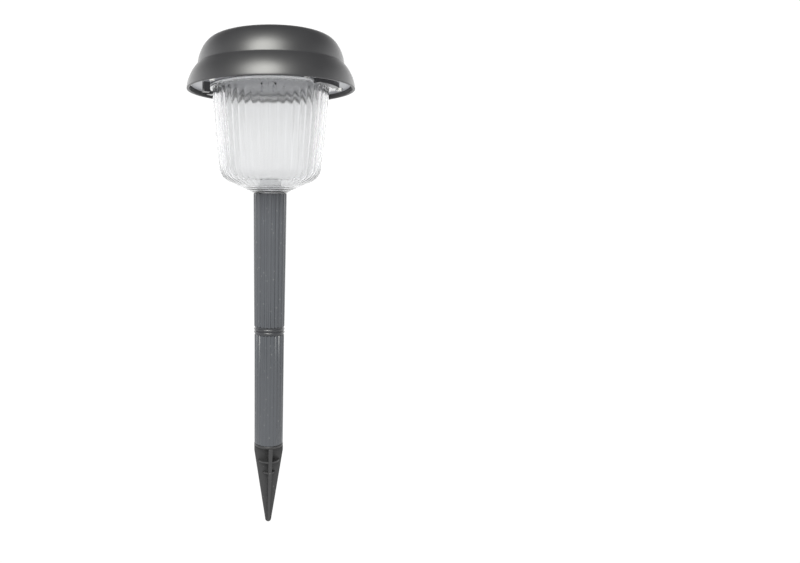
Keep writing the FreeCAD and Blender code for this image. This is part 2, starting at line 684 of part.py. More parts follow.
def insulated_wire(points, bend):
    """A round wire along straight runs that are joined by arcs of radius bend."""
    corners = [V(*p) for p in points]
    edges = []
    start = corners[0]
    for before, corner, after in zip(corners, corners[1:], corners[2:]):
        back = (before - corner).normalize()
        ahead = (after - corner).normalize()
        half_turn = (math.pi - back.getAngle(ahead)) / 2
        reach = bend * math.tan(half_turn)
        first, last = corner + back * reach, corner + ahead * reach
        bisector = (back + ahead).normalize()
        centre = corner + bisector * (bend / math.cos(half_turn))
        edges.append(Part.LineSegment(start, first).toShape())
        edges.append(Part.Arc(first, centre - bisector * bend, last).toShape())
        start = last
    edges.append(Part.LineSegment(start, corners[-1]).toShape())
    tangent = (corners[1] - corners[0]).normalize()
    section = Part.Wire(Part.makeCircle(WIRE_R, corners[0], tangent))
    return Part.Wire(edges).makePipeShell([section], True, False)


def panel_wires():
    """Two wires from the panel's board down to the circuit board, with a little slack."""
    board_z = RECESS_Z + 0.1
    wires = []
    for side in (-1, 1):
        top = (side * PANEL_WIRE_X, WIRE_HOLE.y, board_z)
        below = (side * PANEL_WIRE_X, WIRE_HOLE.y, board_z - PANEL_WIRE_DROP)
        foot_x = side * PANEL_WIRE_FOOT[0]
        foot_y = WIRE_HOLE.y + PANEL_WIRE_FOOT[1]
        slack = (foot_x, foot_y, PCB_TOP + PANEL_WIRE_SLACK)
        end = (foot_x, foot_y, PCB_TOP)
        wires.append(insulated_wire([top, below, slack, end], PANEL_WIRE_BEND))
    return Part.makeCompound(wires)


def battery_wires():
    """A wire from the outside of each contact's tag to the circuit board."""
    z = BAY_TOP + 1.2 + WIRE_R     # beside the upper half of the tags
    low_x = -BAY_INSIDE[0] / 2 - WIRE_R
    high_x = BATTERY_X + CELL_AA_LENGTH + CELL_AA_NUB + CONTACT_H + WIRE_R
    wires = []
    for x, side in ((low_x, -1), (high_x, 1)):
        start = (x, BAY_Y - TAG_WIDTH / 2, z)
        over = (x, CELL_WIRE_OVER_Y, z)
        foot_x = side * CELL_WIRE_FOOT[0]
        end = (foot_x, CELL_WIRE_FOOT[1], PCB_TOP + CELL_WIRE_SLACK)
        foot = (foot_x, CELL_WIRE_FOOT[1], PCB_TOP)
        wires.append(insulated_wire([start, over, end, foot], CELL_WIRE_BEND))
    return Part.makeCompound(wires)


def main():
    makers = [
        spike, coupler, lens, cap_shell, solar_cells, cell_ribbons, panel_board, panel_window,
        panel_seal, base_plate, plate_screws, battery_door, battery, contact_plates, contact_spring,
        circuit_board, board_screws, inductor, driver_chip, resistor, led, led_leads, led_spacer,
        switch_body, switch_knob, panel_wires, battery_wires,
    ]
    nodes = {make.__name__: make() for make in makers}
    nodes["lower_tube"] = fluted_tube(SHOULDER_Z, LOWER_TUBE_H, LOWER_TUBE_R, LOWER_BORE_R)
    nodes["upper_tube"] = fluted_tube(COLLAR_TOP, UPPER_TUBE_H, UPPER_TUBE_R, UPPER_BORE_R)
    os.makedirs("parts", exist_ok=True)
    for name, shape in nodes.items():
        shape.exportStep(f"parts/{name}.step")
        print(name, len(shape.Solids), shape.isValid(), round(shape.Volume, 1))


main()
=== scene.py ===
# %% [markdown]
# # A solar garden light
#
# The real light is a stack of moulded plastic: a black two-tier cap with a solar panel in its
# top, a clear ribbed bowl, two fluted stake tubes with a beaded collar between them, and a
# finned ground spike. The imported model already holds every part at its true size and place, so
# this lesson only adds what the eye needs: finer surfaces, rounded edges and real finishes.

# %% Load the frame
import math

import bpy
from mathutils import Matrix, Vector


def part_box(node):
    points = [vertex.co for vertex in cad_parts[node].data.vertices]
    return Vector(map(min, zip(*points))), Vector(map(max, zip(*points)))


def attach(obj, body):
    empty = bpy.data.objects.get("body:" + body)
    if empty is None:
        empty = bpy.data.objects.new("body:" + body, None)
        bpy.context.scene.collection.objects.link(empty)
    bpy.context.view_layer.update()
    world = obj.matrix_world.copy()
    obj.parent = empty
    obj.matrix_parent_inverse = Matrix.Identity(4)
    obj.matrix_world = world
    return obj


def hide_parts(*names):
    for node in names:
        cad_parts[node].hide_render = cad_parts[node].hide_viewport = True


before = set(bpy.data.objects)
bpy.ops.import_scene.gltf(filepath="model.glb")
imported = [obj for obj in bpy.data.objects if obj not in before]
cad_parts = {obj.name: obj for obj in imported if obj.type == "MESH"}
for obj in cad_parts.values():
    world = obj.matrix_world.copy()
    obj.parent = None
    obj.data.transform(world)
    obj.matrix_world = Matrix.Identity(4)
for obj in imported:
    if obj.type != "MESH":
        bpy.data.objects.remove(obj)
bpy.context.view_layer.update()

MM = 0.001

# %% [markdown]
# ## Camera
#
# A garden light is tall and thin, and it is seen from a little above its middle, from about half
# a metre away. At that distance the near edge of the cap looks clearly larger than its far
# edge, so a long lens from further back would give the wrong picture. The frame is wider than the
# light needs, and a small sideways shift puts the light left of the middle without turning the
# camera, which keeps the rims level.

# %% Camera
CAMERA_DISTANCE = 0.507
CAMERA_HEIGHT = 0.2516
CAMERA_TILT = math.radians(6.63)
CAMERA_ROLL = math.radians(0.36)
LENS_MM = 30.0
SENSOR_MM = 36.0
SIDEWAYS_SHIFT = 0.163     # as a share of the frame's width

camera_data = bpy.data.cameras.new("camera")
camera_data.lens = LENS_MM
camera_data.sensor_width = SENSOR_MM
camera_data.shift_x = SIDEWAYS_SHIFT
camera_data.clip_start = 0.01
camera_data.clip_end = 50.0
camera = bpy.data.objects.new("camera", camera_data)
camera.location = (0, -CAMERA_DISTANCE, CAMERA_HEIGHT)
aim = Matrix.Rotation(math.pi / 2 - CAMERA_TILT, 4, "X") @ Matrix.Rotation(CAMERA_ROLL, 4, "Z")
camera.rotation_euler = aim.to_euler()
bpy.context.scene.collection.objects.link(camera)
bpy.context.scene.camera = camera

# %% [markdown]
# ## Studio
#
# Black satin plastic shows its surroundings more than its own colour. So the light stands in a
# white cove that is bright behind it and at its sides, dim in front and dark overhead, with one
# large soft lamp in front and a little to the left. The bright sides draw the pale edges of the
# cap and the stake, the lamp makes the broad glow low on each tier, and the dark ceiling keeps the
# shoulder black. The world shader needs the direction's height and how far back it points. Rays
# that have gone through the bowl see a plain, paler wall, a little brighter to either side.

# %% Two nodes in one line each
def maths(tree, operation, first, second=None, third=None):
    """A math node. Its inputs are sockets or numbers."""
    node = tree.nodes.new("ShaderNodeMath")
    node.operation = operation
    for place, value in enumerate((first, second, third)):
        if isinstance(value, bpy.types.NodeSocket):
            tree.links.new(value, node.inputs[place])
        elif value is not None:
            node.inputs[place].default_value = value
    return node.outputs[0]


def axes(tree, vector):
    """The X, Y and Z parts of a vector."""
    split = tree.nodes.new("ShaderNodeSeparateXYZ")
    tree.links.new(vector, split.inputs[0])
    return split.outputs


# %% World
FRONT_LIGHT = 0.46
BACK_LIGHT = 2.6
WALL_TURN = (-0.6, 0.5)        # how far back a direction points where the walls brighten
CEILING_TURN = (0.22, 0.70)    # sine of the height above the horizon where the walls fade
CEILING_LIGHT = 0.10
FLOOR_TURN = (-0.08, 0.02)
FLOOR_LIGHT = 1.4
THROUGH_TURN = (0.0, 0.10)     # the sideways part of a direction, squared
THROUGH_MIDDLE = 0.74          # what shows straight behind the bowl
THROUGH_SIDE = 0.91            # and to either side of it
BACKDROP = 1.05                # what the camera sees past the light
SWITCH = (0.0, 1.0)            # for a source that is either 0, or 1 and more

world = bpy.data.worlds.new("studio")
bpy.context.scene.world = world
world.use_nodes = True
sky = world.node_tree
sky.nodes.clear()
direction = axes(sky, sky.nodes.new("ShaderNodeTexCoord").outputs["Generated"])


def ramp(source, span, low, high):
    """A smooth change from low to high while the source crosses a span."""
    node = sky.nodes.new("ShaderNodeMapRange")
    node.interpolation_type = "SMOOTHSTEP"
    node.inputs["From Min"].default_value = span[0]
    node.inputs["From Max"].default_value = span[1]
    for name, value in (("To Min", low), ("To Max", high)):
        if isinstance(value, bpy.types.NodeSocket):
            sky.links.new(value, node.inputs[name])
        else:
            node.inputs[name].default_value = value
    sky.links.new(source, node.inputs["Value"])
    return node.outputs["Result"]


walls = ramp(direction["Y"], WALL_TURN, FRONT_LIGHT, BACK_LIGHT)
above = ramp(direction["Z"], CEILING_TURN, walls, CEILING_LIGHT)
room = ramp(direction["Z"], FLOOR_TURN, FLOOR_LIGHT, above)
rays = sky.nodes.new("ShaderNodeLightPath")
sideways = maths(sky, "MULTIPLY", direction["X"], direction["X"])
beyond = ramp(sideways, THROUGH_TURN, THROUGH_MIDDLE, THROUGH_SIDE)
through = ramp(rays.outputs["Transmission Depth"], SWITCH, room, beyond)
strength = ramp(rays.outputs["Is Camera Ray"], SWITCH, through, BACKDROP)
surroundings = sky.nodes.new("ShaderNodeBackground")
surroundings.inputs["Color"].default_value = (1, 1, 1, 1)
sky_out = sky.nodes.new("ShaderNodeOutputWorld")
sky.links.new(strength, surroundings.inputs["Strength"])
sky.links.new(surroundings.outputs[0], sky_out.inputs["Surface"])
bpy.context.scene.view_settings.view_transform = "Standard"

# %% Soft lamp in front
LAMP_BEARING = math.radians(-11)    # from the camera's side, towards the left
LAMP_RISE = math.radians(33)
LAMP_DISTANCE = 1.3
LAMP_WIDTH = 1.0
LAMP_POWER = 52.0
LAMP_COLOUR = (1.0, 1.0, 0.95)

cap_low, cap_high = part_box("cap_shell")
cap_middle = Vector((0, 0, (cap_low.z + cap_high.z) / 2))
towards = Vector((
    math.sin(LAMP_BEARING) * math.cos(LAMP_RISE),
    -math.cos(LAMP_BEARING) * math.cos(LAMP_RISE),
    math.sin(LAMP_RISE),
))
lamp_data = bpy.data.lights.new("soft_lamp", "AREA")
lamp_data.shape = "DISK"
lamp_data.size = LAMP_WIDTH
lamp_data.energy = LAMP_POWER
lamp_data.color = LAMP_COLOUR
lamp = bpy.data.objects.new("soft_lamp", lamp_data)
lamp.location = cap_middle + towards * LAMP_DISTANCE
lamp.visible_transmission = False      # no image of the lamp in the far side of the bowl
lamp.rotation_euler = towards.to_track_quat("Z", "Y").to_euler()
bpy.context.scene.collection.objects.link(lamp)

# %% [markdown]
# ## Finishes
#
# Nearly everything here is injection-moulded plastic. Up close such a surface isn't flat: it has a
# fine grain from the mould, its polish changes slowly from place to place, its colour is a little
# uneven, and dust lies on it as pale specks. One shader group holds all four, and each plastic
# gives it its own values. The group reads object coordinates, which are real metres here, so a
# grain size is a real size.

# %% Node group helpers
def new_group(name, inputs, outputs, kind="ShaderNodeTree"):
    """An empty node group with its sockets, and its two end nodes."""
    group = bpy.data.node_groups.new(name, kind)
    for label, socket_type, value in inputs:
        socket = group.interface.new_socket(label, in_out="INPUT", socket_type=socket_type)
        if value is not None:
            socket.default_value = value
    for label, socket_type in outputs:
        group.interface.new_socket(label, in_out="OUTPUT", socket_type=socket_type)
    return group, group.nodes.new("NodeGroupInput"), group.nodes.new("NodeGroupOutput")


FLOAT = "NodeSocketFloat"
COLOUR = "NodeSocketColor"
VECTOR = "NodeSocketVector"
INTEGER = "NodeSocketInt"
GEOMETRY = "NodeSocketGeometry"
MATERIAL = "NodeSocketMaterial"


def colour_mix(tree, factor, first, second):
    """A mix of two colours. Each is a socket or a plain colour."""
    node = tree.nodes.new("ShaderNodeMix")
    node.data_type = "RGBA"
    for place, value in (("A", first), ("B", second)):
        if isinstance(value, bpy.types.NodeSocket):
            tree.links.new(value, node.inputs[place])
        else:
            node.inputs[place].default_value = value
    tree.links.new(factor, node.inputs["Factor"])
    return node.outputs["Result"]


def object_place(tree):
    """The point's place on the object, in metres."""
    return tree.nodes.new("ShaderNodeTexCoord").outputs["Object"]


# %% The moulded finish group
SPECKS_PER_METRE = 230.0
SPECK_SIZE = 0.14              # as a share of the room that each speck has
SPECK_COLOUR = (0.35, 0.35, 0.34, 1)


def moulded_finish_group():
    inputs = [
        ("Colour", COLOUR, (0.5, 0.5, 0.5, 1)),
        ("Unevenness", FLOAT, 0.1),
        ("Roughness", FLOAT, 0.4),
        ("Polish spread", FLOAT, 0.06),
        ("Patch scale", FLOAT, 60.0),
        ("Grain scale", FLOAT, 2500.0),
        ("Grain depth", FLOAT, 0.00001),
        ("Specks", FLOAT, 0.0),
    ]
    outputs = [("Colour", COLOUR), ("Roughness", FLOAT), ("Normal", VECTOR)]
    group, start, end = new_group("moulded finish", inputs, outputs)
    nodes, links = group.nodes, group.links
    place = object_place(group)
    patches = nodes.new("ShaderNodeTexNoise")
    patches.inputs["Detail"].default_value = 4.0
    grain = nodes.new("ShaderNodeTexNoise")
    grain.inputs["Detail"].default_value = 2.0
    dust = nodes.new("ShaderNodeTexVoronoi")
    dust.inputs["Scale"].default_value = SPECKS_PER_METRE
    links.new(start.outputs["Patch scale"], patches.inputs["Scale"])
    links.new(start.outputs["Grain scale"], grain.inputs["Scale"])
    for texture in (patches, grain, dust):
        links.new(place, texture.inputs["Vector"])
    centred = maths(group, "SUBTRACT", patches.outputs["Fac"], 0.5)
    polish = maths(group, "MULTIPLY_ADD", centred, start.outputs["Polish spread"],
                   start.outputs["Roughness"])
    shade = maths(group, "MULTIPLY_ADD", centred, start.outputs["Unevenness"], 1.0)
    tint = nodes.new("ShaderNodeVectorMath")
    tint.operation = "SCALE"
    links.new(start.outputs["Colour"], tint.inputs[0])
    links.new(shade, tint.inputs["Scale"])
    near = maths(group, "LESS_THAN", dust.outputs["Distance"], SPECK_SIZE)
    amount = maths(group, "MULTIPLY", near, start.outputs["Specks"])
    bump = nodes.new("ShaderNodeBump")
    links.new(grain.outputs["Fac"], bump.inputs["Height"])
    links.new(start.outputs["Grain depth"], bump.inputs["Distance"])
    links.new(colour_mix(group, amount, tint.outputs[0], SPECK_COLOUR), end.inputs["Colour"])
    links.new(polish, end.inputs["Roughness"])
    links.new(bump.outputs["Normal"], end.inputs["Normal"])
    return group


MOULDED = moulded_finish_group()
group_sockets = MOULDED.interface.items_tree
print("finish inputs:", [socket.name for socket in group_sockets if socket.in_out == "INPUT"])

# %% Masks and crystals
def place_mask_group():
    """A mask that is 1 outside a radius and below a height, and 0 elsewhere."""
    inputs = [("Radius", FLOAT, 0.045), ("Height", FLOAT, 0.3)]
    group, start, end = new_group("outside and below", inputs, [("Mask", FLOAT)])
    nodes, links = group.nodes, group.links
    place = object_place(group)
    flat = nodes.new("ShaderNodeVectorMath")
    flat.operation = "MULTIPLY"
    flat.inputs[1].default_value = (1, 1, 0)
    reach = nodes.new("ShaderNodeVectorMath")
    reach.operation = "LENGTH"
    links.new(place, flat.inputs[0])
    links.new(flat.outputs[0], reach.inputs[0])
    outside = maths(group, "GREATER_THAN", reach.outputs["Value"], start.outputs["Radius"])
    below = maths(group, "LESS_THAN", axes(group, place)["Z"], start.outputs["Height"])
    links.new(maths(group, "MULTIPLY", outside, below), end.inputs["Mask"])
    return group


def crystal_group():
    """Flat crystals that each have their own shade between two colours."""
    inputs = [
        ("Dark", COLOUR, (0, 0, 0, 1)),
        ("Light", COLOUR, (1, 1, 1, 1)),
        ("Scale", FLOAT, 250.0),
    ]
    group, start, end = new_group("crystals", inputs, [("Colour", COLOUR)])
    nodes, links = group.nodes, group.links
    place = object_place(group)
    crystals = nodes.new("ShaderNodeTexVoronoi")
    links.new(place, crystals.inputs["Vector"])
    links.new(start.outputs["Scale"], crystals.inputs["Scale"])
    shade = axes(group, crystals.outputs["Color"])["X"]
    mixed = colour_mix(group, shade, start.outputs["Dark"], start.outputs["Light"])
    links.new(mixed, end.inputs["Colour"])
    return group


# %% Materials that use the moulded finish
def blank_material(name):
    material = bpy.data.materials.new(name)
    material.use_nodes = True
    return material, material.node_tree, material.node_tree.nodes["Principled BSDF"]


def moulded(name, colour, roughness, unevenness=0.12, spread=0.08, grain=2500.0, depth=0.006 * MM,
            patches=60.0, metallic=0.0, specks=0.0):
    """A material whose colour, polish and grain come from the moulded finish group."""
    material, tree, shader = blank_material(name)
    finish = tree.nodes.new("ShaderNodeGroup")
    finish.node_tree = MOULDED
    values = {
        "Colour": (*colour, 1), "Unevenness": unevenness, "Roughness": roughness,
        "Polish spread": spread, "Patch scale": patches, "Grain scale": grain,
        "Grain depth": depth, "Specks": specks,
    }
    for label, value in values.items():
        finish.inputs[label].default_value = value
    tree.links.new(finish.outputs["Colour"], shader.inputs["Base Color"])
    tree.links.new(finish.outputs["Roughness"], shader.inputs["Roughness"])
    tree.links.new(finish.outputs["Normal"], shader.inputs["Normal"])
    shader.inputs["Metallic"].default_value = metallic
    return material


CAP_BLACK = moulded("cap_satin_black", (0.0145, 0.0145, 0.0160), 0.41, grain=1000.0,
                    depth=0.008 * MM)
# The plate and battery door are black plastic; this pale grey is a painted reflection of the bright
# floor below them.
PLATE_PAINTED_PALE = moulded("plate_painted_floor_light", (0.25, 0.255, 0.275), 0.32)
STAKE_GREY = moulded("stake_grey", (0.036, 0.039, 0.045), 0.30, grain=1800.0, depth=0.01 * MM,
                     specks=0.10)
COLLAR_GREY = moulded("collar_grey", (0.020, 0.021, 0.024), 0.34)
SPIKE_BLACK = moulded("spike_black", (0.014, 0.014, 0.015), 0.45, unevenness=0.5, spread=0.2,
                      patches=120.0, depth=0.02 * MM, specks=0.12)
SEAL_BLACK = moulded("silicone_black", (0.012, 0.012, 0.012), 0.35, grain=400.0)
SCREW_ZINC = moulded("zinc_plate", (0.62, 0.62, 0.60), 0.28, metallic=1.0, grain=1500.0)
CONTACT_NICKEL = moulded("nickel_plate", (0.66, 0.64, 0.58), 0.22, metallic=1.0, grain=1500.0)
TINNED = moulded("tinned_copper", (0.70, 0.70, 0.68), 0.35, metallic=1.0, grain=3000.0)
BOARD_GREEN = moulded("solder_mask", (0.02, 0.11, 0.045), 0.30)
FERRITE = moulded("ferrite_grey", (0.05, 0.05, 0.052), 0.6)
CHIP_BLACK = moulded("chip_epoxy", (0.015, 0.015, 0.016), 0.55)
RESISTOR_TAN = moulded("resistor_lacquer", (0.42, 0.30, 0.16), 0.30)
NYLON = moulded("nylon_white", (0.62, 0.61, 0.57), 0.45)
SWITCH_STEEL = moulded("switch_case", (0.48, 0.48, 0.47), 0.35, metallic=1.0)
KNOB_BLACK = moulded("knob_black", (0.02, 0.02, 0.02), 0.45)
WIRE_RED = moulded("wire_sleeve", (0.35, 0.02, 0.02), 0.45)
BATTERY_GREEN = moulded("battery_sleeve", (0.03, 0.17, 0.07), 0.22)

# %% [markdown]
# ## Painted shade on the plate's hooks, and two-coloured wires
#
# The plate's face is painted pale, as a painted reflection of the floor below, and its hooks are
# painted dark, as painted shade on their front faces. One wire of each pair is black. A mask that
# reads the place on the object picks the second colour.

# %% Painted shade on the hooks, and black wires
# The hooks are the plate's own moulding; their dark colour is painted shade on their front faces.
HOOK_PAINTED_SHADE = (0.035, 0.035, 0.038, 1)
HOOKS_OUTSIDE = 45.5 * MM      # the radius past which the plate's underside is its dark hooks
HOOKS_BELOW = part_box("upper_tube")[1].z + 78.5 * MM
WIRE_BLACK = (0.01, 0.01, 0.01, 1)


def second_colour(material, mask, colour):
    """Gives a moulded material another colour where the mask is 1."""
    tree = material.node_tree
    finish = next(node for node in tree.nodes
                  if node.type == "GROUP" and node.node_tree == MOULDED)
    own = tuple(finish.inputs["Colour"].default_value)
    tree.links.new(colour_mix(tree, mask, own, colour), finish.inputs["Colour"])


# This mask puts the painted shade on the hooks.
hooks = PLATE_PAINTED_PALE.node_tree.nodes.new("ShaderNodeGroup")
hooks.node_tree = place_mask_group()
hooks.inputs["Radius"].default_value = HOOKS_OUTSIDE
hooks.inputs["Height"].default_value = HOOKS_BELOW
second_colour(PLATE_PAINTED_PALE, hooks.outputs["Mask"], HOOK_PAINTED_SHADE)

wires = WIRE_RED.node_tree
left = maths(wires, "LESS_THAN", axes(wires, object_place(wires))["X"], 0.0)
second_colour(WIRE_RED, left, WIRE_BLACK)

# %% Crystalline silicon
SILICON, silicon, shader = blank_material("silicon_blue")
crystals = silicon.nodes.new("ShaderNodeGroup")
crystals.node_tree = crystal_group()
crystals.inputs["Dark"].default_value = (0.004, 0.007, 0.03, 1)
crystals.inputs["Light"].default_value = (0.012, 0.028, 0.11, 1)
silicon.links.new(crystals.outputs["Colour"], shader.inputs["Base Color"])
shader.inputs["Roughness"].default_value = 0.28

# %% [markdown]
# ## Clear plastic
#
# The bowl is clear acrylic: it bends light like glass, but a moulded wall is never perfectly
# smooth. The Principled shader does this with transmission and acrylic's refractive index, and a
# very slow, shallow bump makes the wall as uneven as a real moulding. A few percent of the bowl's
# light is scattered, as in any thick moulding, and its lip is frosted, which scatters more than
# half. The lamp and the panel's cover use the same recipe with other values.

# %% Clear materials
ACRYLIC_IOR = 1.49
EPOXY_IOR = 1.53
COVER_IOR = 1.50


def clear(name, colour, roughness, ior, ripple_scale, ripple_depth, clarity=1.0):
    """A see-through plastic. Clarity is the share of light that isn't scattered."""
    material, tree, shader = blank_material(name)
    ripple = tree.nodes.new("ShaderNodeTexNoise")
    ripple.inputs["Scale"].default_value = ripple_scale
    ripple.inputs["Detail"].default_value = 1.0
    bump = tree.nodes.new("ShaderNodeBump")
    bump.inputs["Distance"].default_value = ripple_depth
    tree.links.new(object_place(tree), ripple.inputs["Vector"])
    tree.links.new(ripple.outputs["Fac"], bump.inputs["Height"])
    tree.links.new(bump.outputs["Normal"], shader.inputs["Normal"])
    shader.inputs["Base Color"].default_value = (*colour, 1)
    shader.inputs["Roughness"].default_value = roughness
    shader.inputs["IOR"].default_value = ior
    shader.inputs["Transmission Weight"].default_value = clarity
    return material


LIP_FROSTED = clear("lip_frosted", (0.97, 0.98, 0.99), 0.45, ACRYLIC_IOR, 300.0, 0.01 * MM, 0.45)
BOWL_CLEAR = clear("bowl_acrylic", (0.955, 0.96, 0.968), 0.09, ACRYLIC_IOR, 80.0, 0.004 * MM, 0.965)
LAMP_CLEAR = clear("lamp_epoxy", (0.96, 0.97, 0.98), 0.05, EPOXY_IOR, 400.0, 0.005 * MM)
COVER_CLEAR = clear("panel_cover", (0.97, 0.98, 0.98), 0.02, COVER_IOR, 60.0, 0.01 * MM)

# %% [markdown]
# ## Spun shapes
#
# Almost every part is round, so most meshes here are an outline of radius and height turned about
# the light's axis. A small function that writes the rings itself keeps the quads even, closes the
# surface, and lets one ring change from a circle to a square where the panel sits.

# %% Mesh helpers
def piece(name, points, faces, material, body, slot, *nodes):
    """A piece of the light that will ride on a body and stand for CAD nodes."""
    mesh = bpy.data.meshes.new(name)
    mesh.from_pydata(points, [], faces)
    mesh.validate()
    mesh.materials.append(material)
    made = bpy.data.objects.new(name, mesh)
    bpy.context.scene.collection.objects.link(made)
    made["plan"] = [body, slot, *nodes]
    return made


def settle(made, sharp=35.0):
    """Turns the modifiers into plain mesh, shades it, and hands it to the frame."""
    bpy.context.view_layer.update()
    depsgraph = bpy.context.evaluated_depsgraph_get()
    mesh = bpy.data.meshes.new_from_object(made.evaluated_get(depsgraph))
    made.modifiers.clear()
    made.data = mesh
    mesh.polygons.foreach_set("use_smooth", [True] * len(mesh.polygons))
    mesh.set_sharp_from_angle(angle=math.radians(sharp))
    body, slot, *nodes = made["plan"]
    del made["plan"]
    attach(made, body)
    if nodes:
        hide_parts(*nodes)
    print(made.name, len(mesh.polygons), "faces")


def circle(radius, height, steps):
    """A level ring of points about the light's axis."""
    turn = 2 * math.pi / steps
    return [(radius * math.cos(i * turn), radius * math.sin(i * turn), height)
            for i in range(steps)]


def skin(rows, closed):
    """Joins rows of equal length with quads. Closed also joins the last row to the first."""
    steps = len(rows[0])
    points = [p for row in rows for p in row]
    faces = []
    for r in range(len(rows) if closed else len(rows) - 1):
        low, high = r * steps, (r + 1) % len(rows) * steps
        for i in range(steps):
            j = (i + 1) % steps
            faces.append((low + i, low + j, high + j, high + i))
    return points, faces


def spun(outline, steps):
    """The surface that a closed outline of (radius, height) sweeps. Its points go anticlockwise."""
    return skin([circle(r, z, steps) for r, z in outline], True)


def bevel(made, width, segments=3, angle=30.0):
    """Rounds every edge that turns by more than angle degrees."""
    modifier = made.modifiers.new("edges", "BEVEL")
    modifier.width = width
    modifier.segments = segments
    modifier.limit_method = "ANGLE"
    modifier.angle_limit = math.radians(angle)


# %% Outline helpers
def along(start, end, steps):
    """Points from start to end, without the end."""
    return [tuple(a + (b - a) * i / steps for a, b in zip(start, end)) for i in range(steps)]


def leaning_arc(start, end, lean, steps, inset=0.0):
    """An arc that leaves start leaning inwards by lean degrees, moved inwards by inset."""
    inward = Vector((-math.cos(math.radians(lean)), -math.sin(math.radians(lean))))
    chord = Vector(end) - Vector(start)
    radius = chord.length_squared / (2 * chord.dot(inward))
    centre = Vector(start) + inward * radius
    first = math.atan2(*reversed(Vector(start) - centre))
    last = math.atan2(*reversed(Vector(end) - centre))
    turn = [first + (last - first) * i / steps for i in range(steps + 1)]
    reach = radius - inset
    return [(centre.x + reach * math.cos(a), centre.y + reach * math.sin(a)) for a in turn]


# %% [markdown]
# ## Relief that repeats round the light
#
# The bowl has 46 ribs and each tube has 24 flutes. They follow one rule: a bulge or a hollow that
# repeats round the axis and fades out at its ends. Geometry Nodes can say that once. The tree
# reads each point's angle, finds how far it is from the nearest rib's middle, and moves it along
# the surface normal by a parabola's height. A point attribute called relief says how much of the
# pattern's height there is at each point, so a rib can start below the lip and melt away into the
# floor.

# %% The relief tree
def paint_and_end(group, start, end, geometry):
    """The last nodes of every geometry tree: plain mesh, with the tree's material on it."""
    realise = group.nodes.new("GeometryNodeRealizeInstances")
    paint = group.nodes.new("GeometryNodeSetMaterial")
    group.links.new(geometry, realise.inputs[0])
    group.links.new(realise.outputs[0], paint.inputs["Geometry"])
    group.links.new(start.outputs["Material"], paint.inputs["Material"])
    group.links.new(paint.outputs[0], end.inputs["Geometry"])


def relief_tree():
    inputs = [
        ("Geometry", GEOMETRY, None),
        ("Count", FLOAT, 24.0),
        ("Width", FLOAT, 1.0),
        ("Height", FLOAT, 0.0005),
        ("Turn", FLOAT, 0.0),
        ("Material", MATERIAL, None),
    ]
    group, start, end = new_group("relief round the axis", inputs, [("Geometry", GEOMETRY)],
                                  "GeometryNodeTree")
    nodes, links = group.nodes, group.links

    def sums(*values):
        return maths(group, *values)

    position = axes(group, nodes.new("GeometryNodeInputPosition").outputs[0])
    angle = sums("ARCTAN2", position["Y"], position["X"])
    turned = sums("SUBTRACT", angle, start.outputs["Turn"])
    phase = sums("MULTIPLY", turned, sums("DIVIDE", start.outputs["Count"], 2 * math.pi))
    off_middle = sums("ABSOLUTE", sums("SUBTRACT", sums("FRACT", phase), 0.5))
    share = sums("DIVIDE", sums("MULTIPLY", off_middle, 2.0), start.outputs["Width"])
    swell = sums("MAXIMUM", sums("SUBTRACT", 1.0, sums("MULTIPLY", share, share)), 0.0)
    allowed = nodes.new("GeometryNodeInputNamedAttribute")
    allowed.data_type = "FLOAT"
    allowed.inputs["Name"].default_value = "relief"
    height = sums("MULTIPLY", allowed.outputs["Attribute"], start.outputs["Height"])
    normal = nodes.new("GeometryNodeInputNormal")
    move = nodes.new("ShaderNodeVectorMath")
    move.operation = "SCALE"
    links.new(normal.outputs[0], move.inputs[0])
    links.new(sums("MULTIPLY", swell, height), move.inputs["Scale"])
    place = nodes.new("GeometryNodeSetPosition")
    links.new(start.outputs["Geometry"], place.inputs["Geometry"])
    links.new(move.outputs[0], place.inputs["Offset"])
    paint_and_end(group, start, end, place.outputs[0])
    return group


def give(made, group, **values):
    """Adds a Geometry Nodes modifier and sets its inputs by their identifiers."""
    modifier = made.modifiers.new(group.name, "NODES")
    modifier.node_group = group
    sockets = {socket.name: socket.identifier for socket in group.interface.items_tree
               if socket.in_out == "INPUT"}
    for name, value in values.items():
        modifier[sockets[name]] = value


def mark_relief(made, steps, shares):
    """Writes the relief attribute: one share for each row of the mesh."""
    attribute = made.data.attributes.new("relief", "FLOAT", "POINT")
    attribute.data.foreach_set("value", [share for share in shares for _ in range(steps)])


RELIEF = relief_tree()

# %% [markdown]
# ## Cap
#
# The cap is one thin moulding with two convex tiers, a rounded shoulder and a flat top. Each tier
# starts nearly upright and curls inwards, and they meet in a soft crease. The outline below is
# those arcs; the same arcs, moved inwards by the wall, make the inside. In the flat top the ring
# turns into a square for the panel's recess.

# %% Cap outline
RIM = (cap_high.x, cap_low.z)
CREASE = (RIM[0] - 8.1 * MM, RIM[1] + 17.5 * MM)
SHOULDER = (RIM[0] - 13.1 * MM, RIM[1] + 31.1 * MM)
TOP_EDGE = (RIM[0] - 25.5 * MM, cap_high.z)
CAP_ARCS = (                   # start, end, lean in degrees, steps
    (RIM, CREASE, 5.2, 12),
    (CREASE, SHOULDER, 5.5, 11),
    (SHOULDER, TOP_EDGE, 35.0, 10),
)
CAP_WALL = 2.0 * MM
CAP_STEPS = 192

lower, upper, top = [leaning_arc(*arc) for arc in CAP_ARCS]
outside = lower[:-1] + upper[:-1] + top
print("cap outline points:", len(outside))


def square_ring(half, height, steps, squareness=60):
    """A ring of points on a square with slightly eased corners."""
    ring = []
    for x, y, z in circle(1.0, height, steps):
        reach = half / (abs(x) ** squareness + abs(y) ** squareness) ** (1 / squareness)
        ring.append((x * reach, y * reach, z))
    return ring


